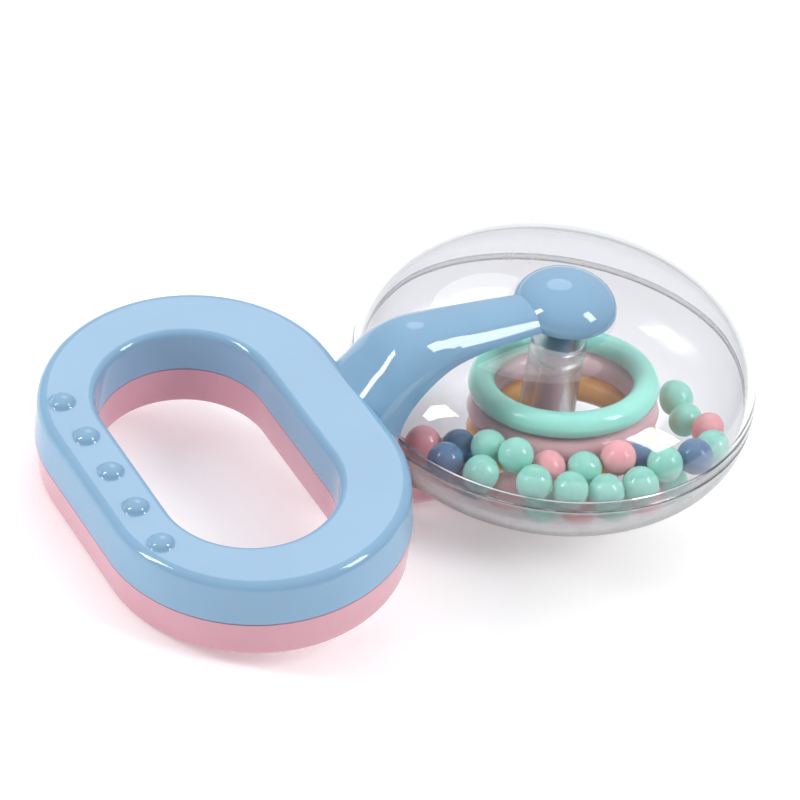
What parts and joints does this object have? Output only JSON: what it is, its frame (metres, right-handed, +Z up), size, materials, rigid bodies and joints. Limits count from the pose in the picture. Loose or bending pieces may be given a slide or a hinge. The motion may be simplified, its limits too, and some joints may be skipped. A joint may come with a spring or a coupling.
{
  "type": "baby rattle",
  "caption": "Hand rattle with an oval grip ring in blue and pink halves, whose arms hold a clear turning head with loose rings and beads inside.",
  "frame": {"origin": "middle of the rattle's box, on the surface that it lies on", "axes": "+X from the grip ring to the clear head, +Z up. The rattle lies as on a table, on the far long side of its ring and on the bend of its lower arm, so the ring is tipped 13.5 degrees and the head's pivot axis 8.1 degrees from +Z, both in the XZ plane"},
  "size_m": [0.1252, 0.0744, 0.0429],
  "materials": {
    "blue": "gloss",
    "pink": "gloss",
    "clear": "gloss",
    "mint": "gloss",
    "yellow": "gloss",
    "bead_pink": "gloss",
    "bead_blue": "gloss"
  },
  "bodies": {
    "handle": {"blue_handle_shell": "blue", "pink_handle_shell": "pink"},
    "head": {"clear_upper_dome": "clear", "clear_lower_dome": "clear"},
    "yellow_ring_body": {"yellow_ring": "yellow"},
    "pink_ring_body": {"pink_ring": "bead_pink"},
    "mint_ring_body": {"mint_ring": "mint"},
    "bead_heap": {"bead_01": "bead_blue", "bead_02": "mint", "bead_03": "mint", "bead_04": "mint", "bead_05": "mint", "bead_06": "mint", "bead_07": "mint", "bead_08": "bead_blue", "bead_09": "mint", "bead_10": "bead_blue", "bead_11": "mint", "bead_12": "mint", "bead_13": "bead_pink", "bead_14": "mint", "bead_15": "bead_pink", "bead_16": "bead_blue", "bead_17": "bead_pink", "bead_18": "bead_blue", "bead_19": "bead_pink", "bead_20": "mint", "bead_21": "bead_pink", "bead_22": "mint", "bead_23": "bead_pink", "bead_24": "mint", "bead_25": "bead_pink", "bead_26": "mint", "bead_27": "mint"}
  },
  "joints": [
    {"name": "head_spin", "type": "hinge", "parent": "handle", "child": "head", "pos_m": [0.02766, 0.002, 0.0225], "axis": [-0.1411, 0, 0.99], "continuous": true},
    {"name": "ring_stack_turn", "type": "hinge", "parent": "head", "child": "yellow_ring_body", "pos_m": [0.02756, -0.0016, 0.0232], "axis": [-0.1387, 0.1822, 0.9734], "continuous": true},
    {"name": "pink_ring_lift", "type": "slide", "parent": "yellow_ring_body", "child": "pink_ring_body", "axis": [-0.1387, 0.1822, 0.9734], "range_m": [0, 0.0025]},
    {"name": "mint_ring_lift", "type": "slide", "parent": "pink_ring_body", "child": "mint_ring_body", "axis": [-0.1387, 0.1822, 0.9734], "range_m": [0, 0.0025]},
    {"name": "bead_roll", "type": "hinge", "parent": "head", "child": "bead_heap", "pos_m": [0.02766, 0.002, 0.0225], "axis": [-0.1411, 0, 0.99], "continuous": true}
  ]
}
